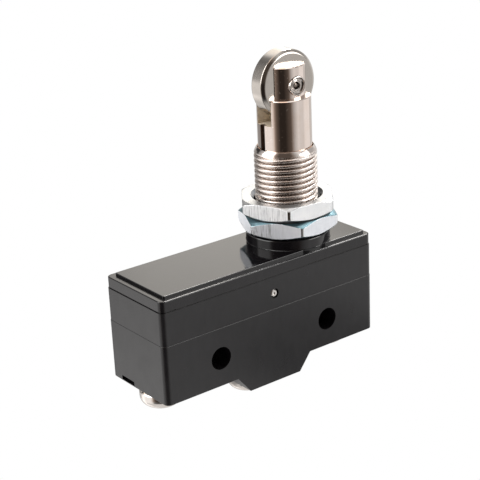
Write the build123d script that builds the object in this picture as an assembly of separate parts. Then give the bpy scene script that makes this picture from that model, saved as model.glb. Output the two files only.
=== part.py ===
from build123d import *
import math
import os

# ---------------------------------------------------------------------------
# Roller plunger limit switch, panel-mount form.  Millimetres.
# The solids are drawn in case coordinates: x from the left end, y from the
# front face to the back face, z up from the case's underside.  They are then
# shifted so that the origin lies on the back face, midway between the two
# mounting holes.
# ---------------------------------------------------------------------------

# case and covers
body_l = 49.5            # length
body_w = 17.7            # thickness, front face to back face
case_top = 11.5          # seam between case and cover
cover_top = 17.85        # seam between cover and top cap
rim_top = 20.0           # rim of the top cap
flat_top = 20.5          # raised flat on the top cap
corner_r = 1.05          # vertical corners
seam_r = 0.12            # case's top edge at the seam
lower_edge_r = 0.2       # case's lower outline
cover_inset = 0.04
cap_inset = 0.12
rim_r = 0.2              # rounded outer edge of the cap's rim
flat_x0, flat_x1 = 1.5, 48.55   # ends of the raised flat
flat_inset = 1.18        # its distance from the long sides
wall = 2.0
end_wall = 1.6

# mounting holes
hole_x0 = 12.3
hole_pitch = 25.4
hole_z = 5.55
hole_r = 2.18

# middle boss under the case
boss_top_x0, boss_top_x1 = 16.0, 33.35
boss_bot_x0, boss_bot_x1 = 18.75, 30.7
boss_depth = 3.35

# plunger axis
ax = 35.95
ay = body_w / 2

# collar, bushing and nuts
collar_r = 8.05
collar_top = 22.5
bush_r = 5.95            # M12 x 1 thread, crest radius
bush_bore_r = 5.15
bush_top = 38.8
bush_lead_z = 37.3
bush_flange_r = 7.4
bush_flange_t = 1.2
lip_z0, lip_z1 = 22.55, 24.0
lip_r = 3.36
nut_af = 17.0
nut_t = 3.2
nut_bore_r = 5.99
nut_chamfer_r = 8.5
nut_light_r = 8.8        # the upper nut's top is only cut at its corners
lower_nut_z = 22.9
lower_nut_turn = 7.0     # degrees, one corner against +X
upper_nut_z = 26.3
upper_nut_turn = 52.7
upper_nut_t = 3.0

# plunger and roller
plunger_r = 5.1
plunger_bottom = 33.0
shoulder_z = 48.3
head_r = 4.12
plunger_top = 54.3
slot_w = 4.0
slot_floor = 43.5
keyway_w = 1.3
keyway_shift = 0.2       # towards the back face
keyway_d = 0.75
stem_r = 3.3
stem_bore_r = 2.3
stem_bottom = 21.6
stem_bore_top = 34.0
roller_z = 50.7
roller_r = 6.35
roller_t = 3.84          # over the hubs
roller_face_gap = 0.05   # faces lie this far below the hubs
axle_r = 1.5
axle_head_r = 1.82
travel = 4.0

# basic switch mechanism
pin_travel = 0.4
blade_z = 11.8
blade_t = 0.22
pivot_x = 7.8
contact_x = 43.4

# terminals
com_x = 4.6
no_x = 24.6
nc_x = body_l - com_x
plate_t = 1.0
plate_proud = 0.4
washer_t = 0.5
screw_r = 2.0
screw_head_r = 4.0
screw_head_h = 3.1

to_frame = Location((-(hole_x0 + hole_pitch / 2), -body_w, -hole_z))


def box(x0, x1, y0, y1, z0, z1):
    return Pos((x0 + x1) / 2, (y0 + y1) / 2, (z0 + z1) / 2) * Box(x1 - x0, y1 - y0, z1 - z0)


def cyl_z(x, y, z0, z1, r):
    return Pos(x, y, (z0 + z1) / 2) * Cylinder(r, z1 - z0)


def cyl_y(x, z, y0, y1, r):
    return Pos(x, (y0 + y1) / 2, z) * Rot(90, 0, 0) * Cylinder(r, y1 - y0)


def rbox(x0, x1, y0, y1, z0, z1, r):
    b = box(x0, x1, y0, y1, z0, z1)
    return fillet(b.edges().filter_by(Axis.Z), r)


def turned(points, x=ax, y=ay):
    """Solid of revolution about the vertical axis at x, y; points are (r, z)."""
    face = make_face(Plane.XZ * Polyline(*points, close=True))
    return Pos(x, y, 0) * revolve(face, Axis.Z)


def mirror_x(shape, x):
    return Pos(x, 0, 0) * mirror(Pos(-x, 0, 0) * shape, Plane.YZ)


parts = {}

# ---------------------------------------------------------------- case -----
profile = make_face(Plane.XZ * Polyline(
    (0, case_top), (0, 0), (boss_top_x0, 0), (boss_bot_x0, -boss_depth), (boss_bot_x1, -boss_depth),
    (boss_top_x1, 0), (body_l, 0), (body_l, case_top), close=True))
case = extrude(profile, amount=-body_w)
if case.bounding_box().center().Y < 0:
    case = Pos(0, body_w, 0) * case
uprights = [e for e in case.edges().filter_by(Axis.Z) if abs(e.center().Z - case_top / 2) < 0.1]
case = fillet(uprights, corner_r)
# lower outline of both faces, the boss's outline included; the edges that run across underneath stay sharp
outline = [e for e in case.edges() if e.center().Z < 0.05
           and not (e.geom_type == GeomType.LINE and abs(e.tangent_at(0.5).Y) > 0.99 and 1 < e.center().X < body_l - 1)]
case = fillet(outline, lower_edge_r)
# soft round of the top edge at the seam
case = fillet([e for e in case.edges() if abs(e.center().Z - case_top) < 0.01], seam_r)
# chambers: left, middle and right, joined by a trough above the hole pillars
floor = 2.0
case = case - box(end_wall, 8.2, wall, body_w - wall, floor, case_top + 1)
case = case - box(16.4, 33.6, wall, body_w - wall, 0.2, case_top + 1)
case = case - box(41.8, body_l - end_wall, wall, body_w - wall, floor, case_top + 1)
case = case - box(end_wall, body_l - end_wall, wall, body_w - wall, 9.7, case_top + 1)
# mounting holes through the whole thickness
for hx in (hole_x0, hole_x0 + hole_pitch):
    case = case - cyl_y(hx, hole_z, -1, body_w + 1, hole_r)
# tongues that stand up into the cover and take the cross pin
pin_x, pin_z, pin_r = 25.13, 14.48, 0.75
for y0, y1, ya in ((0.8, 4.6, wall + 0.06), (body_w - 4.6, body_w - 0.8, body_w - 4.6)):
    yb = y1 if ya == wall + 0.06 else body_w - wall - 0.06
    case = case + box(pin_x - 1.9, pin_x + 1.9, y0, y1, 9.0, case_top - 0.3)
    case = case + box(pin_x - 1.9, pin_x + 1.9, ya, yb, case_top - 0.4, 15.8)
case = case - cyl_y(pin_x, pin_z, -1, body_w + 1, pin_r + 0.02)
# pockets for the terminal plates, clearance holes for the screws, slots for the risers
pad_h, pad_hx = 4.0, 3.2     # half the plates' width across and along the case
recess = plate_t - plate_proud
riser_t = 0.8
tab_z = 9.72             # the terminals' inner arms lie on the hole pillars


def pad_box(xc, zb, grow=0.0, depth=plate_t):
    return box(xc - pad_hx - grow, xc + pad_hx + grow, ay - pad_h - grow, ay + pad_h + grow, zb, zb + depth)


z_end = -plate_proud
z_mid = -boss_depth - plate_proud
case = case - pad_box(com_x, z_end, 0.05) - pad_box(nc_x, z_end, 0.05) - pad_box(no_x, z_mid, 0.05)
case = case - cyl_z(com_x, ay, -1, 6, screw_r + 0.25) - cyl_z(nc_x, ay, -1, 6, screw_r + 0.25)
case = case - cyl_z(no_x, ay, -boss_depth - 1, 2, screw_r + 0.25)
case = case - box(end_wall - 0.02, end_wall + riser_t + 0.08, ay - 3.05, ay + 3.05, 0.3, floor + 0.2)
case = case - box(body_l - end_wall - riser_t - 0.08, body_l - end_wall + 0.02, ay - 3.05, ay + 3.05, 0.3, floor + 0.2)
case = case - box(no_x + 3.0 - 0.05, no_x + 3.0 + riser_t + 0.05, ay - 3.05, ay + 3.05, -boss_depth - 1, 0.4)
# blind tool slot low in each end wall
case = case - box(-1, 1.2, 10.5, 14.5, 0.24, 1.1) - box(body_l - 1.2, body_l + 1, 10.5, 14.5, 0.24, 1.1)
parts["case"] = case

# --------------------------------------------------------------- cover -----
ci = cover_inset
cover = rbox(ci, body_l - ci, ci, body_w - ci, case_top, cover_top, corner_r)
# the cover's top edge is stepped back where the cap meets it
cover = cover - (box(-1, body_l + 1, -1, body_w + 1, cover_top - 0.07, cover_top + 1)
                 - rbox(ci + 0.14, body_l - ci - 0.14, ci + 0.14, body_w - ci - 0.14, cover_top - 0.07, cover_top + 1,
                        corner_r - 0.1))
cover_ceiling = cover_top - 1.8
cover = cover - box(end_wall, body_l - end_wall, wall, body_w - wall, case_top - 1, cover_ceiling)
# seat for the bushing's flange and the guide of the actuator pin
cover = cover - cyl_z(ax, ay, cover_top - bush_flange_t, cover_top + 1, bush_flange_r + 0.04)
guide_r = 2.05
cover = cover + cyl_z(ax, ay, 14.7, cover_top - bush_flange_t, 3.9)
cover = cover - cyl_z(ax, ay, 14, cover_top + 1, guide_r)
cover = cover - cyl_y(pin_x, pin_z, -1, body_w + 1, pin_r + 0.02)
for y0, y1 in ((-1, 0.45), (body_w - 0.45, body_w + 1)):
    cover = cover - cyl_y(pin_x, pin_z, y0, y1, pin_r + 0.22)
# two blind sockets for the pegs of the top cap
pegs = ((7.0, ay), (22.0, ay))
for px, py in pegs:
    cover = cover - cyl_z(px, py, cover_top - 1.1, cover_top + 1, 1.02)
parts["cover"] = cover

# ------------------------------------------------------------- top cap -----
ki = cap_inset
cap = rbox(ki, body_l - ki, ki, body_w - ki, cover_top, rim_top, corner_r)
top_edges = cap.faces().sort_by(Axis.Z)[-1].edges()
cap = fillet(top_edges, rim_r)
# the joint line under the cap is open at both ends and closes up along the middle of the long sides
for x0, x1, gap in ((-1, 3.2, 0.16), (3.2, 33.0, 0.04), (33.0, body_l + 1, 0.12)):
    cap = cap - (box(x0, x1, -1, body_w + 1, cover_top - 1, cover_top + gap)
                 - rbox(ki + 0.16, body_l - ki - 0.16, ki + 0.16, body_w - ki - 0.16, cover_top - 1, cover_top + gap,
                        corner_r - 0.1))
fi = flat_inset
flat = rbox(flat_x0, flat_x1, fi, body_w - fi, rim_top - 0.3, flat_top, 0.3)
flat = fillet(flat.faces().sort_by(Axis.Z)[-1].edges(), 0.12)
# collar with a round top edge and a small hollow fillet down to the flat
tr, br, k45 = 0.35, 0.1, math.sqrt(0.5)
collar_face = make_face(Plane.XZ * (
    Polyline((collar_r + br, flat_top), (collar_r + br, rim_top - 0.3), (0, rim_top - 0.3), (0, collar_top),
             (collar_r - tr, collar_top))
    + ThreePointArc((collar_r - tr, collar_top), (collar_r - tr + tr * k45, collar_top - tr + tr * k45),
                    (collar_r, collar_top - tr))
    + Line((collar_r, collar_top - tr), (collar_r, flat_top + br))
    + ThreePointArc((collar_r, flat_top + br), (collar_r + br - br * k45, flat_top + br - br * k45),
                    (collar_r + br, flat_top))))
collar = Pos(ax, ay, 0) * revolve(collar_face, Axis.Z)
cap = cap + flat + collar
cap = cap - cyl_z(ax, ay, cover_top - 1, collar_top + 1, bush_r + 0.03)
for px, py in pegs:
    cap = cap + cyl_z(px, py, cover_top - 1.0, cover_top + 0.5, 1.0)
parts["top_cap"] = cap

# ----------------------------------------------------------- cross pin -----
cross_pin = cyl_y(pin_x, pin_z, 0.12, body_w - 0.12, pin_r)
cross_pin = chamfer(cross_pin.edges().filter_by(GeomType.CIRCLE), 0.18)
# shallow centre dimple in each end of the pin
cross_pin = cross_pin - cyl_y(pin_x, pin_z, 0, 0.3, 0.25) - cyl_y(pin_x, pin_z, body_w - 0.3, body_w, 0.25)
parts["cross_pin"] = cross_pin

# ------------------------------------------------------------- bushing -----
zf = cover_top - bush_flange_t
bushing = turned([
    (4.9, zf), (bush_flange_r, zf), (bush_flange_r, cover_top), (bush_r, cover_top),
    (bush_r, bush_lead_z), (5.91, bush_lead_z + 0.35), (5.81, bush_lead_z + 0.7), (5.64, bush_lead_z + 1.1),
    (5.44, bush_top - 0.1), (5.36, bush_top), (5.26, bush_top), (bush_bore_r, bush_top - 0.1),
    (bush_bore_r, lip_z1), (lip_r, lip_z1), (lip_r, lip_z0), (4.9, lip_z0)])
parts["bushing"] = bushing


# ---------------------------------------------------------------- nuts -----
def hex_nut(z, turn, nut_t=nut_t, upper_chamfer=True):
    rc = nut_af / math.sqrt(3)
    hexagon = extrude(RegularPolygon(nut_af / 2, 6, major_radius=False), amount=nut_t)
    drop = (rc + 0.5 - nut_chamfer_r) * math.tan(math.radians(30))
    if upper_chamfer:
        top = [(rc + 0.5, nut_t - drop), (nut_chamfer_r, nut_t), (0, nut_t)]
    else:
        cut = (rc + 0.5 - nut_light_r) * math.tan(math.radians(30))
        top = [(rc + 0.5, nut_t - cut), (nut_light_r, nut_t), (0, nut_t)]
    env = revolve(make_face(Plane.XZ * Polyline(
        (0, 0), (nut_chamfer_r, 0), (rc + 0.5, drop), *top, close=True)), Axis.Z)
    nut = hexagon & env
    nut = nut - Cylinder(nut_bore_r, nut_t * 3)
    for s in (0, 1):
        cone = revolve(make_face(Plane.XZ * Polyline(
            (0, -0.01), (6.75, -0.01), (nut_bore_r - 0.05, 0.62), (0, 0.62), close=True)), Axis.Z)
        if s:
            cone = Pos(0, 0, nut_t) * Rot(180, 0, 0) * cone
        nut = nut - cone
    # one corner of the hexagon at the given angle
    v = max(nut.vertices(), key=lambda p: p.X)
    a0 = math.degrees(math.atan2(v.Y, v.X))
    return Pos(ax, ay, z) * Rot(0, 0, turn - a0) * nut


parts["lower_nut"] = hex_nut(lower_nut_z, lower_nut_turn)
parts["upper_nut"] = hex_nut(upper_nut_z, upper_nut_turn, upper_nut_t, False)

# ------------------------------------------------------------- plunger -----
plunger = turned([
    (0, stem_bore_top + 0.6), (stem_bore_r * 0.55, stem_bore_top + 0.35), (stem_bore_r, stem_bore_top - 0.4),
    (stem_bore_r, stem_bottom + 1.0), (1.68, stem_bottom + 1.0), (1.68, stem_bottom),
    (stem_r - 0.2, stem_bottom), (stem_r, stem_bottom + 0.2),
    (stem_r, stem_bottom + 0.3), (2.75, stem_bottom + 0.3), (2.75, stem_bottom + 0.82), (stem_r, stem_bottom + 0.82),
    (stem_r, plunger_bottom), (plunger_r - 0.2, plunger_bottom), (plunger_r, plunger_bottom + 0.2),
    (plunger_r, shoulder_z - 0.14), (plunger_r - 0.14, shoulder_z), (head_r, shoulder_z),
    (head_r, plunger_top - 0.2), (head_r - 0.2, plunger_top), (0, plunger_top)])
plunger = plunger - box(ax - 8, ax + 8, ay - slot_w / 2, ay + slot_w / 2, slot_floor, plunger_top + 1)
# keyway down the side that faces the long end, against turning in the bushing
ky = ay + keyway_shift
plunger = plunger - box(ax - 8, ax - plunger_r + keyway_d, ky - keyway_w / 2, ky + keyway_w / 2, plunger_bottom - 1, slot_floor + 1)
plunger = plunger - cyl_y(ax, roller_z, ay - 8, ay + 8, axle_r)
for y0, y1 in ((ay - 8, ay - 3.7), (ay + 3.7, ay + 8)):
    plunger = plunger - cyl_y(ax, roller_z, y0, y1, axle_head_r + 0.06)
parts["plunger"] = plunger

# -------------------------------------------------------------- roller -----
hw = roller_t / 2
fw = hw - roller_face_gap
# crowned edge from the face out to the rim: a shallow turn, a steep bevel and a small round; (inward, below the face)
edge = [(0.84, 0.0), (0.73, 0.012), (0.62, 0.045), (0.52, 0.09), (0.14, 0.42), (0.07, 0.49), (0.02, 0.57), (0.0, 0.66)]
outline = [(axle_r + 0.05, -hw), (2.85, -hw), (2.9, -fw)]
outline += [(roller_r - i, -fw + d) for i, d in edge]
outline += [(roller_r - i, fw - d) for i, d in reversed(edge)]
outline += [(2.9, fw), (2.85, hw), (axle_r + 0.05, hw)]
roller_face = make_face(Polyline(*outline, close=True))
roller = revolve(roller_face, Axis.Y)
parts["roller"] = Pos(ax, ay, roller_z) * roller

# --------------------------------------------------------- roller axle -----
# riveted over: a thin rolled lip, a dished ring inside it and a deep narrow bore; (radius, outward)
rivet = [(axle_r, 3.72), (axle_head_r, 3.72), (axle_head_r, 4.06), (1.80, 4.18), (1.74, 4.25), (1.66, 4.27),
         (1.58, 4.22), (1.52, 4.10), (1.49, 3.86), (1.30, 3.72), (1.08, 3.70), (0.99, 3.74), (0.92, 3.82), (0.82, 3.84),
         (0.72, 3.78), (0.66, 3.6), (0.64, 1.9), (0.3, 1.7), (0, 1.62)]
axle_face = make_face(Polyline(
    *[(r, -h) for r, h in reversed(rivet)], *rivet, close=True))
roller_axle = revolve(axle_face, Axis.Y)
parts["roller_axle"] = Pos(ax, ay, roller_z) * roller_axle


# ------------------------------------------------------------- springs -----
def coil(z0, z1, mean_r, wire_r, turns):
    height = z1 - z0 - 2 * wire_r
    path = Helix(pitch=height / turns, height=height, radius=mean_r)
    start = path @ 0
    tangent = path % 0
    section = Plane(origin=start, z_dir=tangent) * Circle(wire_r)
    return Pos(ax, ay, z0 + wire_r) * sweep(section, path=path, is_frenet=True)


parts["return_spring"] = coil(lip_z1 + 0.05, plunger_bottom - 0.05, 4.2, 0.4, 4.5)

rod_head_z0, rod_head_z1 = stem_bottom + 1.05, stem_bottom + 2.4
parts["overtravel_spring"] = coil(rod_head_z1 + 0.05, stem_bore_top - 0.6, 1.75, 0.3, 6.5)

# ------------------------------------------------------------ push rod -----
pin_top = 17.5
parts["push_rod"] = turned([
    (0, pin_top + 0.02), (1.3, pin_top + 0.02), (1.62, pin_top + 0.35), (1.62, rod_head_z0),
    (2.24, rod_head_z0), (2.24, rod_head_z1 - 0.15), (2.1, rod_head_z1), (0, rod_head_z1)])

# ------------------------------------------------------ retaining ring -----
ring = cyl_z(ax, ay, stem_bottom + 0.34, stem_bottom + 0.78, 4.55) - cyl_z(ax, ay, stem_bottom, stem_bottom + 2, 2.78)
ring = ring - box(ax + 1, ax + 6, ay - 1.7, ay + 1.7, stem_bottom, stem_bottom + 2)
parts["retaining_ring"] = ring

# -------------------------------------------------------- actuator pin -----
pin_tip = blade_z + blade_t + 0.03
parts["actuator_pin"] = turned([
    (0, pin_tip), (0.7, pin_tip + 0.05), (1.15, pin_tip + 0.5), (1.2, pin_tip + 1.0), (2.0, pin_tip + 1.0), (2.0, 13.6),
    (2.9, 13.6), (2.9, 14.4), (2.0, 14.4), (2.0, pin_top - 0.25), (1.75, pin_top), (0, pin_top)])

# ------------------------------------------------- common terminal ---------
def riser_plate(xc, left):
    """Pad under the case, screw thread and a riser at the end wall."""
    pad = pad_box(xc, z_end)
    x0 = end_wall + 0.02
    if left:
        up = box(x0, x0 + riser_t, ay - 3, ay + 3, z_end, tab_z + riser_t)
        pad = pad + box(com_x - pad_hx, x0 + riser_t, ay - 3, ay + 3, z_end, z_end + plate_t)
    else:
        up = box(body_l - x0 - riser_t, body_l - x0, ay - 3, ay + 3, z_end, 14.0)
    plate = pad + up
    return plate - cyl_z(xc, ay, z_end - 1, z_end + plate_t + 0.5, screw_r + 0.02)


common = riser_plate(com_x, True)
common = common + box(end_wall + 0.02, 14.5, ay - 1.7, ay + 1.7, tab_z, tab_z + riser_t)
common = common + box(end_wall + 0.02, 8.6, ay - 3, ay + 3, tab_z, tab_z + riser_t)
# pivot ridge for the blade and the anchor post for the bow spring
ridge = make_face(Plane.XZ * Polyline(
    (pivot_x - 0.6, tab_z + 0.5), (pivot_x + 0.6, tab_z + 0.5), (pivot_x + 0.12, blade_z - 0.03),
    (pivot_x - 0.12, blade_z - 0.03), close=True))
common = common + Pos(0, ay, 0) * extrude(ridge, amount=3, both=True)
common = common + box(13.7, 14.5, ay - 1.7, ay + 1.7, tab_z + 0.5, 12.5)
parts["common_terminal"] = common

# ------------------------------------------------------ NO terminal --------
no_plate = pad_box(no_x, z_mid)
rx = no_x + 3.0
no_plate = no_plate + box(rx, rx + riser_t, ay - 3, ay + 3, z_mid, tab_z + riser_t)
no_plate = no_plate + box(rx, 45.3, ay - 2, ay + 2, tab_z, tab_z + riser_t)
no_plate = no_plate - cyl_z(no_x, ay, z_mid - 1, z_mid + plate_t + 0.5, screw_r + 0.02)
no_plate = no_plate - cyl_z(contact_x, ay, 9, 12, 0.8)
parts["no_terminal"] = no_plate

# ------------------------------------------------------ NC terminal --------
nc_plate = riser_plate(nc_x, False)
nc_plate = nc_plate + box(41.6, body_l - end_wall - 0.02, ay - 2, ay + 2, 13.2, 14.0)
nc_plate = nc_plate - cyl_z(contact_x, ay, 12, 15, 0.8)
parts["nc_terminal"] = nc_plate

# ------------------------------------------------------------ contacts -----
no_arm_top = tab_z + riser_t
parts["no_contact"] = turned([
    (0, tab_z + 0.01), (0.8, tab_z + 0.01), (0.8, no_arm_top), (1.5, no_arm_top), (1.5, no_arm_top + 0.3), (0.9, no_arm_top + 0.5),
    (0, no_arm_top + 0.54)], contact_x)
contact_low = no_arm_top + 0.54 + 0.55
parts["nc_contact"] = turned([
    (0, 14.03), (0.8, 14.03), (0.8, 13.2), (1.5, 13.2), (1.5, blade_z + blade_t + 0.62), (0.9, blade_z + blade_t + 0.42),
    (0, blade_z + blade_t + 0.38)], contact_x)
parts["moving_contact"] = turned([
    (0, contact_low), (0.9, contact_low + 0.03), (1.4, blade_z - 0.06), (1.4, blade_z), (0.6, blade_z),
    (0.6, blade_z + blade_t), (1.4, blade_z + blade_t), (1.4, blade_z + blade_t + 0.15),
    (0.9, blade_z + blade_t + 0.33), (0, blade_z + blade_t + 0.35)], contact_x)

# --------------------------------------------------------------- blade -----
blade = rbox(pivot_x - 1.6, contact_x + 2.0, ay - 2.9, ay + 2.9, blade_z, blade_z + blade_t, 0.8)
blade = blade - rbox(12.6, 31.2, ay - 2.0, ay + 2.0, blade_z - 1, blade_z + 1, 0.4)
blade = blade - cyl_z(contact_x, ay, blade_z - 1, blade_z + 1, 0.6)
parts["contact_blade"] = blade

# ---------------------------------------------------------- bow spring -----
bx0, bx1, bz, bh, bt = 14.75, 31.1, 12.05, 1.15, 0.18
outer = ThreePointArc((bx0, bz), ((bx0 + bx1) / 2, bz + bh), (bx1, bz))
inner = ThreePointArc((bx1, bz - bt), ((bx0 + bx1) / 2, bz + bh - bt), (bx0, bz - bt))
bow_face = make_face(Plane.XZ * (outer + Line((bx1, bz), (bx1, bz - bt)) + inner + Line((bx0, bz - bt), (bx0, bz))))
bow = extrude(bow_face, amount=1.5, both=True)
parts["bow_spring"] = Pos(0, ay, 0) * bow


# ------------------------------------------------- screws and washers ------
def toothed_washer(xc, zt):
    w = cyl_z(xc, ay, zt - washer_t, zt, 3.85) - cyl_z(xc, ay, zt - washer_t - 1, zt + 1, screw_r + 0.15)
    for i in range(14):
        a = math.radians(i * 360 / 14)
        w = w - cyl_z(xc + 4.0 * math.cos(a), ay + 4.0 * math.sin(a), zt - washer_t - 1, zt + 1, 0.5)
    return w


def pan_screw(xc, zt, length):
    """Pan head below the plane zt, shank above it."""
    r, h = screw_head_r, screw_head_h
    pts = [(0, zt + length), (screw_r - 0.35, zt + length), (screw_r, zt + length - 0.4), (screw_r, zt),
           (r - 0.12, zt), (r, zt - 0.2), (r, zt - 1.1)]
    n = 7
    for i in range(1, n + 1):
        a = math.radians(68) * i / n
        pts.append((r - (1 - math.cos(a)) * (r - 1.5) , zt - 1.1 - (h - 1.12) * math.sin(a) / math.sin(math.radians(68))))
    pts.append((0, zt - h))
    s = turned(pts, xc)
    # cross recess, opened by a wider slot
    for w, l in ((0.9, 4.6), (4.6, 0.9)):
        s = s - box(xc - w / 2, xc + w / 2, ay - l / 2, ay + l / 2, zt - h - 1, zt - h + 1.5)
    return s


for name, xc, zb in (("com", com_x, z_end), ("no", no_x, z_mid), ("nc", nc_x, z_end)):
    parts["washer_" + name] = toothed_washer(xc, zb)
    parts["terminal_screw_" + name] = pan_screw(xc, zb - washer_t, 5.6)

# --------------------------------------------------------------- write -----
os.makedirs("parts", exist_ok=True)
for name, shape in parts.items():
    placed = to_frame * shape
    solids = placed.solids()
    out = solids[0] if len(solids) == 1 else Compound(children=solids)
    out.label = name
    export_step(out, "parts/" + name + ".step")
    bb = out.bounding_box()
    print(f"{name:20s} solids {len(solids)} vol {sum(s.volume for s in solids):9.2f} "
          f"x {bb.min.X:7.2f} {bb.max.X:7.2f} y {bb.min.Y:7.2f} {bb.max.Y:7.2f} z {bb.min.Z:7.2f} {bb.max.Z:7.2f}")
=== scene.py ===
# Looks of the roller plunger limit switch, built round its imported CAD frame.
# Metres, row frame: origin midway between the two mounting holes on the back face,
# +X along the case towards the plunger, +Y out of the back face, +Z up.
import math

import bpy
import numpy as np
from mathutils import Matrix, Vector


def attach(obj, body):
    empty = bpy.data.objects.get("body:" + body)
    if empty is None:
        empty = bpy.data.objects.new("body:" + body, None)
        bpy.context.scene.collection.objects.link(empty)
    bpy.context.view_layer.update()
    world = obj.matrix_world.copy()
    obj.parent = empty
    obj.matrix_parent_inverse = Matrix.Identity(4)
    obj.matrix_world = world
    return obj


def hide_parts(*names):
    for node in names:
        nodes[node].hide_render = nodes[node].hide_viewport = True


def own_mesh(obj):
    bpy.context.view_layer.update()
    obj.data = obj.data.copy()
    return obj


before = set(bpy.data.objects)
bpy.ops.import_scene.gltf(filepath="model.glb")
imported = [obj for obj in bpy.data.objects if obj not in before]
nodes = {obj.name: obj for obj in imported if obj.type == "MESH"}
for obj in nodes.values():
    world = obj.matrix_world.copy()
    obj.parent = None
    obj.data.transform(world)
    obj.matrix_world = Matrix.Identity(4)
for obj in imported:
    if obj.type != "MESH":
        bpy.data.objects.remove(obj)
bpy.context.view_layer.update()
scene = bpy.context.scene

MM = 0.001
AX, AY = 35.95, 8.85  # plunger axis, in case millimetres


def at(x, y, z):
    """Case millimetres (x from the left end, y from the front, z from the underside) to the row frame."""
    return ((x - 25.0) * MM, (y - 17.7) * MM, (z - 5.55) * MM)


# --------------------------------------------------------------------------
# camera: matches the photograph's viewpoint
# --------------------------------------------------------------------------
cam_data = bpy.data.cameras.new("view_camera")
cam = bpy.data.objects.new("view_camera", cam_data)
scene.collection.objects.link(cam)
cam_data.sensor_width = 36.0
cam_data.sensor_fit = "HORIZONTAL"
cam_data.lens = 98.6205
cam_data.clip_start = 0.01
cam_data.clip_end = 20.0
RIGHT = Vector((0.7881437985, -0.6139609514, -0.0433739901))
UP = Vector((0.2493182306, 0.2540311355, 0.9345098191))
FORWARD = Vector((0.5627341937, 0.7473420451, -0.3532847222))
cam_matrix = Matrix((RIGHT, UP, -FORWARD)).transposed().to_4x4()
cam_matrix.translation = Vector((-0.13833112, -0.19175934, 0.10370348))
cam.matrix_world = cam_matrix
scene.camera = cam
scene.view_settings.view_transform = "Standard"
scene.view_settings.look = "None"
scene.view_settings.exposure = 0.0
scene.view_settings.gamma = 1.0


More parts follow.
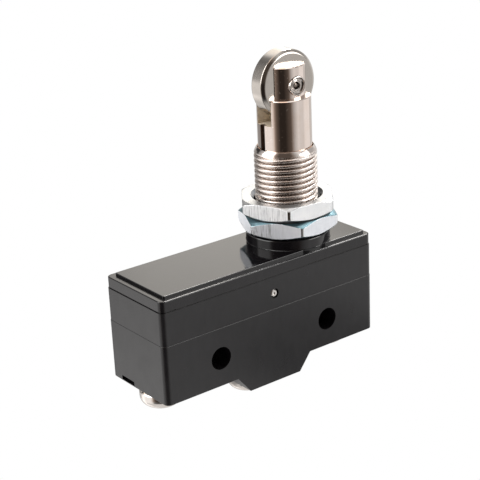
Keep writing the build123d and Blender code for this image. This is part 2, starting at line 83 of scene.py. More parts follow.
# --------------------------------------------------------------------------
# node helpers
# --------------------------------------------------------------------------
class Mat:
    """A material under construction: short names for the nodes that these surfaces use."""

    def __init__(self, name):
        self.m = bpy.data.materials.new(name)
        self.m.use_nodes = True
        self.t = self.m.node_tree
        self.t.nodes.clear()
        self.out = self.node("ShaderNodeOutputMaterial")
        self.b = self.node("ShaderNodeBsdfPrincipled")
        self.link(self.b.outputs[0], self.out.inputs["Surface"])
        self.co = self.node("ShaderNodeTexCoord").outputs["Object"]

    def node(self, kind, **props):
        n = self.t.nodes.new(kind)
        for k, v in props.items():
            setattr(n, k, v)
        return n

    def link(self, a, b):
        self.t.links.new(a, b)

    def put(self, socket, value):
        if isinstance(value, bpy.types.NodeSocket):
            self.link(value, socket)
        else:
            socket.default_value = value

    def math(self, op, a, b=None, c=None, clamp=False):
        n = self.node("ShaderNodeMath", operation=op, use_clamp=clamp)
        for s, v in zip(n.inputs, (a, b, c)):
            if v is not None:
                self.put(s, v)
        return n.outputs[0]

    def vmath(self, op, a, b=None):
        n = self.node("ShaderNodeVectorMath", operation=op)
        self.put(n.inputs[0], a)
        if b is not None:
            self.put(n.inputs[1], b)
        return n.outputs["Value"] if op in ("DOT_PRODUCT", "LENGTH") else n.outputs["Vector"]

    def xyz(self, v=None):
        n = self.node("ShaderNodeSeparateXYZ")
        self.link(v if v is not None else self.co, n.inputs[0])
        return n.outputs

    def combine(self, x, y, z):
        n = self.node("ShaderNodeCombineXYZ")
        for s, v in zip(n.inputs, (x, y, z)):
            self.put(s, v)
        return n.outputs[0]

    def scaled(self, v, s):
        n = self.node("ShaderNodeMapping")
        self.link(v, n.inputs["Vector"])
        n.inputs["Scale"].default_value = s
        return n.outputs[0]

    def noise(self, v, scale, detail=2.0, rough=0.5, distortion=0.0):
        n = self.node("ShaderNodeTexNoise")
        self.link(v, n.inputs["Vector"])
        n.inputs["Scale"].default_value = scale
        n.inputs["Detail"].default_value = detail
        n.inputs["Roughness"].default_value = rough
        n.inputs["Distortion"].default_value = distortion
        return n.outputs[0]

    def ramp(self, fac, stops, interpolation="LINEAR"):
        n = self.node("ShaderNodeValToRGB")
        n.color_ramp.interpolation = interpolation
        e = n.color_ramp.elements
        while len(e) < len(stops):
            e.new(1.0)
        for el, (p, c) in zip(e, stops):
            el.position = p
            el.color = (c, c, c, 1.0) if isinstance(c, (int, float)) else (*c, 1.0)
        self.link(fac, n.inputs[0])
        return n.outputs[0]

    def remap(self, v, a0, a1, b0, b1, smooth=False):
        n = self.node("ShaderNodeMapRange")
        n.interpolation_type = "SMOOTHSTEP" if smooth else "LINEAR"
        n.clamp = True
        self.put(n.inputs["Value"], v)
        n.inputs["From Min"].default_value = a0
        n.inputs["From Max"].default_value = a1
        n.inputs["To Min"].default_value = b0
        n.inputs["To Max"].default_value = b1
        return n.outputs[0]

    def mix(self, fac, a, b):
        n = self.node("ShaderNodeMix", data_type="RGBA")
        self.put(n.inputs[0], fac)
        for s, v in ((n.inputs[6], a), (n.inputs[7], b)):
            self.put(s, v if isinstance(v, bpy.types.NodeSocket) else (*v, 1.0))
        return n.outputs[2]

    def bump(self, height, distance, strength=1.0, chain=None):
        n = self.node("ShaderNodeBump")
        n.inputs["Strength"].default_value = strength
        n.inputs["Distance"].default_value = distance
        self.link(height, n.inputs["Height"])
        if chain is not None:
            self.link(chain, n.inputs["Normal"])
        return n.outputs[0]

    def round(self, centre=(AX, AY)):
        """Cylindrical coordinates round a vertical axis, in metres: (arc at 10 mm radius, radius, height)."""
        cx, cy, _ = at(*centre, 0)
        x, y, z = self.xyz()
        dx, dy = self.math("SUBTRACT", x, cx), self.math("SUBTRACT", y, cy)
        # the seam is at the back
        angle = self.math("ARCTAN2", dx, self.math("MULTIPLY", dy, -1.0))
        radius = self.math("SQRT", self.math("ADD", self.math("MULTIPLY", dx, dx), self.math("MULTIPLY", dy, dy)))
        return self.math("MULTIPLY", angle, 0.010), radius, z

    def set(self, **values):
        names = {
            "color": "Base Color", "metallic": "Metallic", "roughness": "Roughness", "ior": "IOR",
            "normal": "Normal", "coat": "Coat Weight", "coat_roughness": "Coat Roughness",
            "specular": "Specular IOR Level", "anisotropic": "Anisotropic",
        }
        for k, v in values.items():
            s = self.b.inputs[names[k]]
            if k == "color" and not isinstance(v, bpy.types.NodeSocket):
                v = (*v, 1.0)
            self.put(s, v)
        return self.m


# --------------------------------------------------------------------------
# materials
# --------------------------------------------------------------------------
def phenolic(name, top=False, gloss=(0.27, 0.35)):
    """Glossy black compression-moulded phenolic; the raised flat on the cap is polished smoother."""
    k = Mat(name)
    fine = k.noise(k.co, 5200.0, 3.0, 0.6)
    cloud = k.noise(k.co, 240.0, 3.0, 0.55)
    swirl = k.noise(k.scaled(k.co, (1.0, 1.0, 0.35)), 900.0, 2.0, 0.5, 0.6)
    rough = k.remap(cloud, 0.3, 0.7, *gloss)
    if top:
        z = k.xyz()[2]
        flat = k.remap(z, 0.01462, 0.01478, 0.0, 1.0)
        rough = k.math("ADD", k.math("MULTIPLY", rough, k.math("SUBTRACT", 1.0, flat)),
                       k.math("MULTIPLY", k.remap(cloud, 0.3, 0.7, 0.07, 0.11), flat))
    colour = k.mix(k.remap(swirl, 0.35, 0.65, 0.0, 1.0), (0.0040, 0.0036, 0.0043), (0.0060, 0.0054, 0.0063))
    n = k.bump(fine, 0.000003, 0.3)
    n = k.bump(cloud, 0.00002, 0.2, n)
    return k.set(color=colour, roughness=rough, ior=1.5, normal=n)


def nickel(name, tint=(0.765, 0.675, 0.625), rough=(0.05, 0.085), lathe=0.25, cuts=False):
    """Nickel plate over turned brass: fine turning rings, handling scratches, a few pits."""
    k = Mat(name)
    arc, radius, z = k.round()
    rings = k.noise(k.combine(k.math("MULTIPLY", arc, 0.02), 0.0, z), 9000.0, 3.0, 0.6)
    scratch = k.noise(k.combine(arc, radius, k.math("MULTIPLY", z, 0.07)), 6500.0, 3.0, 0.6)
    haze = k.noise(k.co, 420.0, 4.0, 0.6)
    pits = k.ramp(k.noise(k.co, 3000.0, 2.0, 0.5), [(0.0, 0.0), (0.69, 0.0), (0.76, 1.0), (1.0, 1.0)])
    colour = k.mix(k.remap(haze, 0.35, 0.7, 0.0, 1.0), tint, tuple(c * d for c, d in zip(tint, (0.95, 0.92, 0.89))))
    r = k.remap(haze, 0.3, 0.7, *rough)
    if cuts:
        # the milled slot is satin; its beige colour and part-dielectric response are painted bounce light from its
        # nickel walls, and the keyway is painted dark as shade in the groove
        x, y, _ = k.xyz()
        cx, cy, _ = at(AX, AY, 0)
        off = k.math("ABSOLUTE", k.math("SUBTRACT", y, cy))
        side = k.math("ABSOLUTE", k.math("SUBTRACT", x, cx))
        slot_satin_and_bounce = k.math("MULTIPLY", k.remap(off, 0.00201, 0.00203, 1.0, 0.0), k.remap(z, 0.03793, 0.03795, 0.0, 1.0))
        key_y = k.math("ABSOLUTE", k.math("SUBTRACT", y, cy + 0.0002))
        keyway_shade = k.math("MULTIPLY", k.remap(key_y, 0.00066, 0.00068, 1.0, 0.0), k.remap(x, cx - 0.0043, cx - 0.0042, 1.0, 0.0))
        keyway_shade = k.math("MULTIPLY", keyway_shade, k.remap(radius, 0.00502, 0.00509, 1.0, 0.0))
        keyway_shade = k.math("MULTIPLY", keyway_shade, k.math("SUBTRACT", 1.0, slot_satin_and_bounce))
        mill = k.noise(k.scaled(k.co, (0.1, 1.0, 1.0)), 5200.0, 3.0, 0.6)
        # painted bounce light: warm beige tint on the slot's walls
        colour = k.mix(slot_satin_and_bounce, colour, (0.78, 0.69, 0.56))
        # painted shade: dark brown tint in the keyway
        colour = k.mix(keyway_shade, colour, (0.26, 0.20, 0.16))
        r = k.math("ADD", r, k.math("MULTIPLY", slot_satin_and_bounce, 0.42))
        r = k.math("ADD", r, k.math("MULTIPLY", keyway_shade, 0.35))
        rings = k.math("ADD", k.math("MULTIPLY", rings, k.math("SUBTRACT", 1.0, slot_satin_and_bounce)), k.math("MULTIPLY", mill, slot_satin_and_bounce))
    n = k.bump(rings, 0.000003, lathe)
    n = k.bump(scratch, 0.000006, 0.3, n)
    n = k.bump(pits, 0.00002, 0.5, n)
    return k.set(color=colour, metallic=k.math("SUBTRACT", 1.0, k.math("MULTIPLY", slot_satin_and_bounce, 0.55)) if cuts else 1.0,
                 roughness=r, normal=n)


def rolled_thread(name):
    """Nickel on a rolled thread: the grooves are tinted dark brown as painted shade; smooth where the thread runs out.
    """
    k = Mat(name)
    arc, radius, z = k.round()
    rings = k.noise(k.combine(k.math("MULTIPLY", arc, 0.05), 0.0, z), 9000.0, 3.0, 0.6)
    grit = k.noise(k.co, 2600.0, 3.0, 0.65)
    haze = k.noise(k.co, 420.0, 4.0, 0.6)
    depth = k.remap(radius, 0.00540, 0.00585, 1.0, 0.0, True)
    lead = k.remap(z, 0.03215, 0.03260, 1.0, 0.0)
    groove_shade = k.math("MULTIPLY", depth, lead)
    colour = k.mix(k.remap(haze, 0.35, 0.7, 0.0, 1.0), (0.80, 0.73, 0.69), (0.74, 0.665, 0.62))
    # painted shade: dark brown tint deep in the thread's grooves
    colour = k.mix(groove_shade, colour, (0.34, 0.285, 0.25))
    r = k.math("ADD", k.remap(haze, 0.3, 0.7, 0.09, 0.14), k.math("MULTIPLY", lead, k.remap(grit, 0.35, 0.65, 0.06, 0.22)))
    n = k.bump(rings, 0.000004, 0.4)
    n = k.bump(grit, 0.000012, 0.35, n)
    return k.set(color=colour, metallic=1.0, roughness=r, normal=n)


def zinc(name, band, streaks=1.0, tint=(0.80, 0.815, 0.845), rough=(0.36, 0.46), spread=0.85, metal=0.6):
    """Bright zinc with a faint blue passivation; drawn-bar streaks run up the flats, strongest on one
    stretch of the outside, given by its two bearings in degrees."""
    k = Mat(name)
    arc, radius, z = k.round()
    lines = k.noise(k.combine(arc, radius, k.math("MULTIPLY", z, 0.06)), 4600.0, 4.0, 0.7)
    blot = k.noise(k.co, 330.0, 3.0, 0.55)
    b0, b1 = (0.010 * math.radians(b) for b in band)
    patch = k.math("MULTIPLY", k.remap(arc, b0 - 0.0004, b0, 0.0, 1.0), k.remap(arc, b1, b1 + 0.0012, 1.0, 0.0, True))
    patch = k.math("MULTIPLY_ADD", patch, 0.88, 0.12)
    colour = k.mix(k.remap(blot, 0.3, 0.7, 0.0, 1.0), tint, tuple(c * d for c, d in zip(tint, (0.92, 0.935, 0.95))))
    dark = k.math("MULTIPLY", k.remap(lines, 0.51, 0.62, 0.0, 0.75 * streaks), patch)
    colour = k.mix(dark, colour, (0.36, 0.37, 0.38))
    r = k.remap(blot, 0.3, 0.7, *rough)
    n = k.bump(k.math("MULTIPLY", lines, patch), 0.00003, 0.6 * streaks)
    n = k.bump(blot, 0.00005, 0.2, n)
    t = k.node("ShaderNodeTangent", direction_type="RADIAL", axis="Z")
    k.link(t.outputs[0], k.b.inputs["Tangent"])
    return k.set(color=colour, metallic=metal, roughness=r, normal=n, anisotropic=spread)


def steel(name, tint, rough, axis="Y", centre=(AX, 50.7), bump=0.3):
    """Turned steel: rings round the roller's axis, soft blotches of oil film."""
    k = Mat(name)
    x, y, z = k.xyz()
    cx, _, cz = at(centre[0], 0, centre[1])
    dx, dz = k.math("SUBTRACT", x, cx), k.math("SUBTRACT", z, cz)
    radius = k.math("SQRT", k.math("ADD", k.math("MULTIPLY", dx, dx), k.math("MULTIPLY", dz, dz)))
    rings = k.noise(k.combine(radius, y, 0.0), 7000.0, 3.0, 0.65)
    blot = k.noise(k.co, 380.0, 4.0, 0.6)
    colour = k.mix(k.remap(blot, 0.35, 0.68, 0.0, 1.0), tint, tuple(c * 0.9 for c in tint))
    r = k.math("ADD", k.remap(blot, 0.3, 0.7, *rough), k.remap(rings, 0.3, 0.7, -0.02, 0.03))
    n = k.bump(rings, 0.000006, bump)
    return k.set(color=colour, metallic=1.0, roughness=r, normal=n)


def plain_metal(name, tint, rough, dull=0.85, grain=(1.0, 0.05, 1.0), bump=0.3):
    """Rolled or drawn strip: streaks along one direction and patchy dulling."""
    k = Mat(name)
    lines = k.noise(k.scaled(k.co, grain), 6000.0, 3.0, 0.6)
    blot = k.noise(k.co, 500.0, 4.0, 0.6)
    colour = k.mix(k.remap(blot, 0.35, 0.7, 0.0, 1.0), tint, tuple(c * dull for c in tint))
    n = k.bump(lines, 0.000006, bump)
    return k.set(color=colour, metallic=1.0, roughness=k.remap(blot, 0.3, 0.7, *rough), normal=n)


def button_plastic(name):
    k = Mat(name)
    cloud = k.noise(k.co, 900.0, 4.0, 0.6)
    colour = k.mix(k.remap(cloud, 0.3, 0.7, 0.0, 1.0), (0.36, 0.075, 0.045), (0.28, 0.055, 0.035))
    return k.set(color=colour, roughness=k.remap(cloud, 0.3, 0.7, 0.38, 0.5), normal=k.bump(cloud, 0.00002, 0.3))


mats = {
    "case": phenolic("phenolic_case"),
    "cover": phenolic("phenolic_cover"),
    "top_cap": phenolic("phenolic_cap", top=True, gloss=(0.15, 0.20)),
    "cross_pin": plain_metal("pin_steel", (0.74, 0.71, 0.68), (0.25, 0.36)),
    "plunger": nickel("nickel_plunger", cuts=True),
    "bushing": rolled_thread("nickel_thread"),
    "lower_nut": zinc("zinc_lower", (-84.0, -64.0), 1.3, (0.88, 0.90, 0.94), (0.44, 0.52)),
    "upper_nut": zinc("zinc_upper", (-98.0, -37.3), 0.95, (0.97, 0.975, 0.98), (0.34, 0.42), 0.72),
    # painted shade: a darkened copy of the zinc for the nuts' flat faces and the upper nut's chamfers, toning down the
    # overhead light on them
    "nut_face_shaded": zinc("zinc_face_shaded", (-98.0, -37.3), 0.0, (0.44, 0.445, 0.448), (0.30, 0.38), 0.4, 0.9),
    # teal passivation tint on the lower nut's chamfers, darkened as painted shade under the upper nut
    "nut_chamfer_teal_shade": zinc("zinc_chamfer_teal_shade", (-84.0, -66.0), 0.3, (0.17, 0.28, 0.32), (0.27, 0.36), 0.6, 1.0),
    "nut_edge": plain_metal("zinc_edge", (0.62, 0.63, 0.64), (0.10, 0.18), grain=(1, 1, 0.2)),
    # painted shade: a darkened zinc in the nuts' countersinks and bores
    "nut_bore_shaded": plain_metal("zinc_bore_shaded", (0.30, 0.31, 0.32), (0.12, 0.20), grain=(1, 1, 0.2)),
    "roller": steel("roller_steel", (0.50, 0.462, 0.425), (0.11, 0.16)),
    "roller_axle": steel("axle_steel", (0.56, 0.52, 0.49), (0.09, 0.14), bump=0.1),
    "terminal_screw": nickel("nickel_screw", (0.80, 0.755, 0.72), (0.12, 0.20), 0.2),
    "washer": plain_metal("washer_steel", (0.60, 0.55, 0.48), (0.25, 0.4)),
    "spring": plain_metal("spring_wire", (0.55, 0.55, 0.56), (0.2, 0.3), grain=(1, 1, 1)),
    "rod": plain_metal("rod_steel", (0.66, 0.65, 0.63), (0.2, 0.3), grain=(1, 1, 0.05)),
    "blade": plain_metal("blade_copper", (0.82, 0.50, 0.32), (0.22, 0.34), grain=(0.05, 1, 1)),
    "contact": plain_metal("contact_silver", (0.90, 0.89, 0.87), (0.2, 0.32), grain=(1, 1, 1)),
    "brass": plain_metal("terminal_brass", (0.86, 0.66, 0.36), (0.24, 0.36), grain=(0.05, 1, 0.05)),
    "button": button_plastic("button_plastic"),
}


def wear(obj, mat):
    obj.data.materials.clear()
    obj.data.materials.append(mat)


uses = {
    "case": "case", "cover": "cover", "top_cap": "top_cap", "cross_pin": "cross_pin", "plunger": "plunger",
    "bushing": "bushing", "lower_nut": "lower_nut", "upper_nut": "upper_nut", "roller": "roller",
    "roller_axle": "roller_axle", "return_spring": "spring", "overtravel_spring": "spring", "push_rod": "rod",
    "retaining_ring": "rod", "actuator_pin": "button", "contact_blade": "blade", "bow_spring": "blade",
    "moving_contact": "contact", "no_contact": "contact", "nc_contact": "contact", "common_terminal": "brass",
    "no_terminal": "brass", "nc_terminal": "brass",
}
for tail in ("com", "no", "nc"):
    uses["terminal_screw_" + tail] = "terminal_screw"
    uses["washer_" + tail] = "washer"
for name, obj in nodes.items():
    wear(obj, mats[uses[name]])


# --------------------------------------------------------------------------
# mesh helpers
# --------------------------------------------------------------------------
def make_piece(name, verts, faces, body, mat, sharp_deg=32.0, weld=1e-7):
    me = bpy.data.meshes.new(name)
    me.from_pydata([tuple(v) for v in verts], [], [tuple(int(i) for i in f) for f in faces])
    import bmesh

    bm = bmesh.new()
    bm.from_mesh(me)
    bmesh.ops.remove_doubles(bm, verts=bm.verts, dist=weld)
    bmesh.ops.dissolve_degenerate(bm, edges=bm.edges, dist=1e-8)
    bmesh.ops.recalc_face_normals(bm, faces=bm.faces)
    bm.to_mesh(me)
    bm.free()
    me.polygons.foreach_set("use_smooth", [True] * len(me.polygons))
    me.set_sharp_from_angle(angle=math.radians(sharp_deg))
    me.update()
    o = bpy.data.objects.new(name, me)
    scene.collection.objects.link(o)
    me.materials.append(mat)
    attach(o, body)
    return o


def turned_faces(profile, segments, offset=0):
    """Rings round the plunger axis through (radius, z) points in case millimetres, open ended."""
    verts, faces = [], []
    for r, z in profile:
        for i in range(segments):
            t = 2 * math.pi * i / segments
            verts.append(at(AX + r * math.cos(t), AY + r * math.sin(t), z))
    for j in range(len(profile) - 1):
        for i in range(segments):
            k = (i + 1) % segments
            faces.append((offset + j * segments + i, offset + j * segments + k,
                          offset + (j + 1) * segments + k, offset + (j + 1) * segments + i))
    return verts, faces


# --------------------------------------------------------------------------
# bushing with its M12 x 1 thread
# --------------------------------------------------------------------------
PITCH = 1.0
CREST, DEPTH = 5.95, 0.52
THREAD_LOW, THREAD_HIGH = 22.55, 38.8
STEPS, PER_PITCH = 132, 20


def thread_depth(t):
    """Depth below the crest for a phase 0..1 of the pitch: a broad rolled crest and a narrow groove."""
    d = abs(t % 1.0 - 0.5) * 2  # 1 at the crest's middle, 0 at the root's middle
    if d > 0.72:
        return 0.012 * ((1 - d) / 0.28) ** 2
    if d > 0.52:
        return 0.012 + 0.07 * ((0.72 - d) / 0.2) ** 2
    if d > 0.14:
        return 0.082 + (DEPTH - 0.112) * (0.52 - d) / 0.38
    return DEPTH - 0.03 * (d / 0.14) ** 2


LEAD = [(37.3, 5.95), (37.65, 5.91), (38.0, 5.81), (38.4, 5.64), (38.72, 5.44), (38.8, 5.375)]


def envelope(z):
    if z <= LEAD[0][0]:
        return CREST
    for (z0, r0), (z1, r1) in zip(LEAD, LEAD[1:]):
        if z <= z1:
            return r0 + (r1 - r0) * (z - z0) / (z1 - z0)
    return LEAD[-1][1]


verts, faces = [], []
turns = int(math.ceil((THREAD_HIGH - THREAD_LOW) / PITCH)) + 1
rows = turns * PER_PITCH + 1
for i in range(STEPS):
    t = i / STEPS
    for j in range(rows):
        z = THREAD_LOW - PITCH + (j / PER_PITCH + t) * PITCH
        z = min(max(z, THREAD_LOW), THREAD_HIGH)
        fade = min(1.0, max(0.0, (38.15 - z) / 0.9))
        r = min(CREST - thread_depth((z - THREAD_LOW) / PITCH - t) * fade, envelope(z))
        a = 2 * math.pi * t
        verts.append(at(AX + r * math.cos(a), AY + r * math.sin(a), z))
for i in range(STEPS):
    for j in range(rows - 1):
        a = i * rows + j
        if i < STEPS - 1:
            b = (i + 1) * rows + j
            faces.append((a, b, b + 1, a + 1))
        elif j + PER_PITCH + 1 < rows:
            b = j + PER_PITCH
            faces.append((a, b, b + 1, a + 1))
inner = [(5.375, 38.8), (5.35, 38.8), (5.30, 38.7), (5.15, 38.45), (5.15, 24.0), (3.36, 24.0), (3.36, 22.56), (4.9, 22.56),
         (4.9, 16.65), (7.34, 16.65), (7.4, 16.71), (7.4, 17.79), (7.34, 17.85), (5.95, 17.85), (5.95, 22.55)]
v2, f2 = turned_faces(inner, STEPS, len(verts))
bushing = make_piece("threaded_bushing", verts + v2, faces + f2, "body", mats["bushing"], 40.0, 2e-6)
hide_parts("bushing")


# --------------------------------------------------------------------------
# hexagon nuts with rounded corners, chamfers both sides and countersunk bores
# --------------------------------------------------------------------------
NUT_A, NUT_BORE, CHAMFER_R = 8.5, 5.99, 8.36
SLOPE = math.tan(math.radians(30))


def bend(p, q, r, n):
    """Points of a quadratic curve from p to r that leans on q."""
    out = []
    for i in range(n + 1):
        t = i / n
        out.append(tuple((1 - t) ** 2 * a + 2 * t * (1 - t) * b + t * t * c for a, b, c in zip(p, q, r)))
    return out


def hex_radius(phi, f=0.75):
    """Distance to a hexagon's side along an angle from its nearest corner; corners are rounded."""
    phi = (phi + math.pi / 6) % (math.pi / 3) - math.pi / 6
    c = (NUT_A - f) / math.cos(math.pi / 6)
    inside = f * f - (c * math.sin(phi)) ** 2
    if inside > 0:
        t = c * math.cos(phi) + math.sqrt(inside)
        if abs(math.atan2(t * math.sin(phi), t * math.cos(phi) - c)) <= math.pi / 6:
            return t
    return NUT_A / math.cos(math.pi / 6 - abs(phi))


def half_profile(rs, cut, thick):
    """(radius, height, zone) from the side's middle up and over to the bore, with a chamfer outside the
    radius cut; zone 1 is that chamfer, zone 2 the countersink."""
    drop = max(0.0, rs - cut) * SLOPE
    ze = thick - drop
    if drop > 0.03:
        e = min(0.13, (rs - cut) * 0.55)
        pts = [(rs, thick / 2, 0), (rs, thick / 2 + 0.5, 0), (rs, ze - 0.22, 0)]
        up = bend((rs, ze - 0.13), (rs, ze), (rs - e * 0.866, ze + e * 0.5), 4)
        pts += [(r, z, 0) for r, z in up[:-1]] + [(*up[-1], 1)]
        k = min(0.10, (rs - cut) * 0.3)
        pts.append(((rs + cut) / 2, thick - ((rs + cut) / 2 - cut) * SLOPE, 1))
        over = bend((cut + k, thick - k * SLOPE), (cut, thick), (cut - 0.1, thick), 3)
        pts += [(*over[0], 1)] + [(r, z, 0) for r, z in over[1:]]
        pts.append((cut - 0.3, thick, 0))
    else:
        pts = [(rs, thick / 2, 0), (rs, thick / 2 + 0.5, 0), (rs, thick - 0.3, 0)]
        pts += [(r, z, 0) for r, z in bend((rs, thick - 0.09), (rs, thick), (rs - 0.07, thick), 4)]
        pts += [(rs - d, thick, 0) for d in (0.1, 0.14, 0.18, 0.24, 0.32, 0.45)]
    pts += [(7.4, thick, 0), (7.02, thick, 0)]
    pts += [(r, z, 2) for r, z in bend((6.96, thick), (6.88, thick), (6.82, thick - 0.05), 3)]
    pts += [(6.4, thick - 0.42, 2), (NUT_BORE + 0.02, thick - 0.78, 2), (NUT_BORE, thick - 0.86, 2), (NUT_BORE, thick / 2, 2)]
    return pts


def make_nut(name, node, z0, turn, thick, top_cut, mat, chamfer_tint_shade_mat, bore_shade_mat, flat_shade_mat, edge_mat):
    corner = math.radians(turn)
    angles = set()
    for k in range(360):
        angles.add(round(k * 1.0, 3))
    for k in range(6):
        for j in range(-14, 15):
            angles.add(round((turn + 60 * k + j * 0.2) % 360, 3))
    angles = sorted(angles)
    verts, faces, zone = [], [], []
    m = 0
    for a in angles:
        t = math.radians(a)
        rs = hex_radius(t - corner)
        upper = half_profile(rs, top_cut, thick)
        lower = [(r, thick - z, q) for r, z, q in half_profile(rs, CHAMFER_R, thick)]
        ring = upper + lower[::-1][1:-1]
        m = len(ring)
        for r, z, q in ring:
            verts.append(at(AX + r * math.cos(t), AY + r * math.sin(t), z0 + z))
    n = len(angles)
    for i in range(n):
        i2 = (i + 1) % n
        for j in range(m):
            j2 = (j + 1) % m
            faces.append((i * m + j, i2 * m + j, i2 * m + j2, i * m + j2))
    o = make_piece(name, verts, faces, "body", mat, 50.0, 1e-8)
    o.data.materials.append(chamfer_tint_shade_mat)
    o.data.materials.append(bore_shade_mat)
    o.data.materials.append(flat_shade_mat)
    o.data.materials.append(edge_mat)
    cx, cy, _ = at(AX, AY, 0)
    for p in o.data.polygons:
        nz = abs(p.normal.z)
        # painted shade: the countersink and bore
        if math.hypot(p.center.x - cx, p.center.y - cy) < 0.00689:
            p.material_index = 2
        # painted shade: darkened flat faces
        elif nz >= 0.95:
            p.material_index = 3
        # chamfers: teal darkened as painted shade on the lower nut, the darkened flat-face zinc on the upper
        elif 0.35 < nz:
            p.material_index = 1
        else:
            lean = (math.degrees(math.atan2(p.normal.y, p.normal.x)) - turn) % 60 - 30
            if abs(lean) > 8:
                p.material_index = 4
    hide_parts(node)
    return o


make_nut("lower_hex_nut", "lower_nut", 22.9, 7.0, 3.2, CHAMFER_R, mats["lower_nut"], mats["nut_chamfer_teal_shade"], mats["nut_bore_shaded"], mats["nut_face_shaded"],
         mats["nut_edge"])
make_nut("upper_hex_nut", "upper_nut", 26.3, 52.7, 3.0, 8.8, mats["upper_nut"], mats["nut_face_shaded"], mats["nut_bore_shaded"], mats["nut_face_shaded"],
         mats["nut_edge"])

# --------------------------------------------------------------------------
# coil springs, each carried by its body
# --------------------------------------------------------------------------
def spring(name, node, body, z0, z1, mean_r, wire_r, coils):
    verts, faces = [], []
    n, m = int(coils * 36), 10
    low, high = z0 + wire_r, z1 - wire_r
    for i in range(n + 1):
        s = i / n
        # the end coils are closed
        e = 0.5 * (1 - math.cos(math.pi * s)) * 0.35 + 0.65 * s
        a = 2 * math.pi * coils * s
        c = Vector((math.cos(a), math.sin(a), 0))
        z = low + (high - low) * e
        for j in range(m):
            b = 2 * math.pi * j / m
            r = mean_r + wire_r * math.cos(b)
            verts.append(at(AX + c.x * r, AY + c.y * r, z + wire_r * math.sin(b)))
    for i in range(n):
        for j in range(m):
            k = (j + 1) % m
            faces.append((i * m + j, i * m + k, (i + 1) * m + k, (i + 1) * m + j))
    faces.append(tuple(range(m)))
    faces.append(tuple(n * m + j for j in reversed(range(m))))
    o = make_piece(name, verts, faces, body, mats["spring"])
    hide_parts(node)
    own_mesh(o)
    return o


spring("return_coil", "return_spring", "body", 24.05, 32.95, 4.2, 0.4, 4.5)
spring("overtravel_coil", "overtravel_spring", "actuator", 24.05, 33.4, 1.75, 0.3, 6.5)


# --------------------------------------------------------------------------
# studio: pale floor, soft light all round, darker towards the viewer
# --------------------------------------------------------------------------
world = bpy.data.worlds.new("studio")
scene.world = world
world.use_nodes = True
wt = world.node_tree
wt.nodes.clear()


class Sky(Mat):
    def __init__(self, tree):
        self.t = tree


sky = Sky(wt)
wco = sky.node("ShaderNodeTexCoord").outputs["Generated"]
direction = sky.vmath("NORMALIZE", wco)
side = sky.vmath("DOT_PRODUCT", direction, (0.7988, -0.6016, 0.0))
near = sky.vmath("DOT_PRODUCT", direction, (-0.6016, -0.7988, 0.0))
beta = sky.math("MULTIPLY_ADD", sky.math("ARCTAN2", side, near), 1 / (2 * math.pi), 0.5)
height = sky.xyz(direction)[2]


def around(stops, gain):
    """Brightness against bearing from the viewer's side, in degrees, right positive."""
    return sky.ramp(beta, [((b + 180) / 360, v / gain) for b, v in stops])


GAIN = 5.0
low_band = around([
    (-180, 0.70), (-165, 0.55), (-150, 0.34), (-128, 0.34), (-116, 1.00), (-106, 1.36), (-97, 1.22),
    (-88, 1.08), (-60, 1.08), (-50, 0.90), (-42, 0.32), (-34, 0.13), (-20, 0.03), (2, 0.03), (26, 0.12),
    (33, 0.33), (45, 0.62), (58, 0.86), (66, 0.80), (84, 0.80), (94, 1.00), (150, 1.00), (170, 0.85), (180, 0.70)], GAIN)
high_band = around([
    (-180, 2.05), (-168, 1.75), (-158, 1.45), (-150, 0.9), (-143, 0.40), (-134, 0.30), (-127, 0.24), (-112, 0.42), (-105, 0.5), (-98, 0.7), (-90, 5.0),
    (-58, 5.0), (-46, 0.4), (-30, 0.10), (20, 0.10), (40, 0.5), (56, 0.9), (88, 0.6), (95, 0.45), (130, 0.5), (155, 1.2),
    (168, 2.05), (180, 2.05)], GAIN)
warm = around([(-180, 0.0), (-55, 0.0), (-40, 1.0), (25, 1.0), (40, 0.0), (180, 0.0)], 1.0)
blend = sky.remap(height, -0.10, 0.14, 0.0, 1.0, True)
zenith = sky.remap(height, 0.80, 0.97, 0.0, 1.0, True)
nadir = sky.remap(height, -0.78, -0.60, 1.0, 0.0, True)


def lerp(fac, a, b):
    return sky.math("ADD", sky.math("MULTIPLY", a, sky.math("SUBTRACT", 1.0, fac)), sky.math("MULTIPLY", b, fac))


level = sky.math("MULTIPLY", lerp(blend, low_band, high_band), GAIN)
level = lerp(zenith, level, 1.6)
level = lerp(nadir, level, 0.74)
# soft box at the right, low; a long one up behind
box_b = around([(-180, 0.0), (54, 0.0), (62, 1.0), (88, 1.0), (98, 0.0), (180, 0.0)], 1.0)
box_h = sky.math("MULTIPLY", sky.remap(height, 0.02, 0.12, 0.0, 1.0, True), sky.remap(height, 0.44, 0.54, 1.0, 0.0, True))
level = sky.math("ADD", level, sky.math("MULTIPLY", sky.math("MULTIPLY", box_b, box_h), 6.0))
back_b = around([(-180, 0.0), (116, 0.0), (128, 1.0), (170, 1.0), (178, 0.0), (180, 0.0)], 1.0)
back_h = sky.math("MULTIPLY", sky.remap(height, 0.62, 0.70, 0.0, 1.0, True), sky.remap(height, 0.82, 0.90, 1.0, 0.0, True))
level = sky.math("ADD", level, sky.math("MULTIPLY", sky.math("MULTIPLY", back_b, back_h), 24.0))
# dark panel behind at the left, low
panel_b = around([(-180, 0.0), (-175, 0.0), (-169, 1.0), (-122, 1.0), (-114, 0.0), (180, 0.0)], 1.0)
panel_h = sky.math("MULTIPLY", sky.remap(height, 0.0, 0.10, 0.0, 1.0, True), sky.remap(height, 0.42, 0.52, 1.0, 0.0, True))
level = sky.math("MULTIPLY", level, sky.math("SUBTRACT", 1.0, sky.math("MULTIPLY", sky.math("MULTIPLY", panel_b, panel_h), 0.85)))
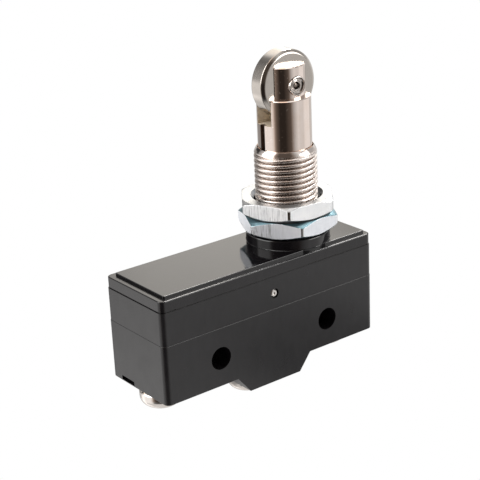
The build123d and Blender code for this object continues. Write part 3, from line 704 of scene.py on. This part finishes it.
# pale floor catching light at the left, under the horizon
glow_b = around([(-180, 0.0), (-152, 0.0), (-140, 1.0), (-114, 1.0), (-102, 0.0), (180, 0.0)], 1.0)
glow_h = sky.remap(height, -0.52, -0.38, 1.0, 0.0, True)
level = sky.math("ADD", level, sky.math("MULTIPLY", sky.math("MULTIPLY", glow_b, glow_h), 0.6))
behind = around([(-180, 1.0), (-165, 1.0), (-150, 0.0), (150, 0.0), (165, 1.0), (180, 1.0)], 1.0)
creamy = sky.math("MULTIPLY", behind, blend)
brown = sky.math("MULTIPLY", warm, sky.math("SUBTRACT", 1.0, sky.remap(height, -0.60, -0.46, 1.0, 0.0, True)))
tone = sky.mix(brown, (1.0, 0.985, 0.97), (1.0, 0.80, 0.67))
tone = sky.mix(creamy, tone, (1.0, 0.955, 0.885))
bg_light = sky.node("ShaderNodeBackground")
sky.link(level, bg_light.inputs["Strength"])
sky.link(tone, bg_light.inputs["Color"])
bg_plain = sky.node("ShaderNodeBackground")
bg_plain.inputs["Color"].default_value = (1.0, 1.0, 1.0, 1.0)
bg_plain.inputs["Strength"].default_value = 1.0
path = sky.node("ShaderNodeLightPath")
mix = sky.node("ShaderNodeMixShader")
sky.link(path.outputs["Is Camera Ray"], mix.inputs[0])
sky.link(bg_light.outputs[0], mix.inputs[1])
sky.link(bg_plain.outputs[0], mix.inputs[2])
wout = sky.node("ShaderNodeOutputWorld")
sky.link(mix.outputs[0], wout.inputs["Surface"])


def emitter(name, strength, color=(1.0, 1.0, 1.0), one_sided=False):
    m = bpy.data.materials.new(name)
    m.use_nodes = True
    t = m.node_tree
    t.nodes.clear()
    e = t.nodes.new("ShaderNodeEmission")
    e.inputs["Color"].default_value = (*color, 1.0)
    e.inputs["Strength"].default_value = strength
    out = t.nodes.new("ShaderNodeOutputMaterial")
    if one_sided:
        geo = t.nodes.new("ShaderNodeNewGeometry")
        clear = t.nodes.new("ShaderNodeBsdfTransparent")
        mx = t.nodes.new("ShaderNodeMixShader")
        t.links.new(geo.outputs["Backfacing"], mx.inputs[0])
        t.links.new(e.outputs[0], mx.inputs[1])
        t.links.new(clear.outputs[0], mx.inputs[2])
        t.links.new(mx.outputs[0], out.inputs["Surface"])
    else:
        t.links.new(e.outputs[0], out.inputs["Surface"])
    return m


def stage_polygon(name, points, mat, camera, glossy, diffuse):
    me = bpy.data.meshes.new(name)
    me.from_pydata([tuple(p) for p in points], [], [tuple(range(len(points)))])
    o = bpy.data.objects.new(name, me)
    scene.collection.objects.link(o)
    me.materials.append(mat)
    o.visible_camera, o.visible_glossy, o.visible_diffuse = camera, glossy, diffuse
    o.visible_shadow = False
    o.visible_transmission = False
    return o


FLOOR_Z = -0.0128 - 0.0002
stage_polygon("floor", [(-9, -9, FLOOR_Z), (9, -9, FLOOR_Z), (9, 9, FLOOR_Z), (-9, 9, FLOOR_Z)],
              emitter("floor_white", 1.0, one_sided=True), True, False, True)

# soft shade on the floor round the case's foot, seen only in reflections
shade = Mat("floor_shade")
shade.t.nodes.remove(shade.b)
sx, sy, _ = shade.xyz()


def falloff(cx, cy, r0, r1):
    dx, dy = shade.math("SUBTRACT", sx, cx * MM), shade.math("SUBTRACT", sy, cy * MM)
    d = shade.math("SQRT", shade.math("ADD", shade.math("MULTIPLY", dx, dx), shade.math("MULTIPLY", dy, dy)))
    return shade.remap(d, r0 * MM, r1 * MM, 1.0, 0.0, True)


amount = shade.math("MAXIMUM", shade.math("MULTIPLY", falloff(22.0, -31.0, 8.0, 30.0), 0.6), shade.math("MULTIPLY", falloff(-11.0, -6.0, 4.5, 8.5), 0.8))
dark = shade.node("ShaderNodeEmission")
dark.inputs["Strength"].default_value = 0.12
clear = shade.node("ShaderNodeBsdfTransparent")
both = shade.node("ShaderNodeMixShader")
shade.link(amount, both.inputs[0])
shade.link(clear.outputs[0], both.inputs[1])
shade.link(dark.outputs[0], both.inputs[2])
shade.link(both.outputs[0], shade.out.inputs["Surface"])
SHADE_Z = FLOOR_Z + 0.0001
stage_polygon("foot_shade", [(-0.06, -0.08, SHADE_Z), (0.08, -0.08, SHADE_Z), (0.08, 0.06, SHADE_Z), (-0.06, 0.06, SHADE_Z)],
              shade.m, False, True, False)

# grey flag up behind at the right: the cap's flat is duller past the collar
flag = Mat("flag_shade")
flag.t.nodes.remove(flag.b)
gx, gy, gz = flag.xyz()
across = flag.math("SUBTRACT", flag.math("MULTIPLY", gx, 0.7988), flag.math("MULTIPLY", gy, 0.6016))
cover_up = flag.math("MULTIPLY", flag.remap(across, 15.0 * MM, 31.0 * MM, 0.0, 0.32),
                     flag.remap(gz, 32.0 * MM, 38.0 * MM, 1.0, 0.0, True))
grey = flag.node("ShaderNodeEmission")
grey.inputs["Strength"].default_value = 0.12
through = flag.node("ShaderNodeBsdfTransparent")
pair = flag.node("ShaderNodeMixShader")
flag.link(cover_up, pair.inputs[0])
flag.link(through.outputs[0], pair.inputs[1])
flag.link(grey.outputs[0], pair.inputs[2])
flag.link(pair.outputs[0], flag.out.inputs["Surface"])


def flag_point(s, z):
    d = s - 14.07
    return ((41.0 + 0.7988 * d) * MM, (31.1 - 0.6016 * d) * MM, z * MM)


stage_polygon("flag", [flag_point(14.5, 5.0), flag_point(85.0, 5.0), flag_point(85.0, 39.0), flag_point(14.5, 39.0)],
              flag.m, False, True, False)
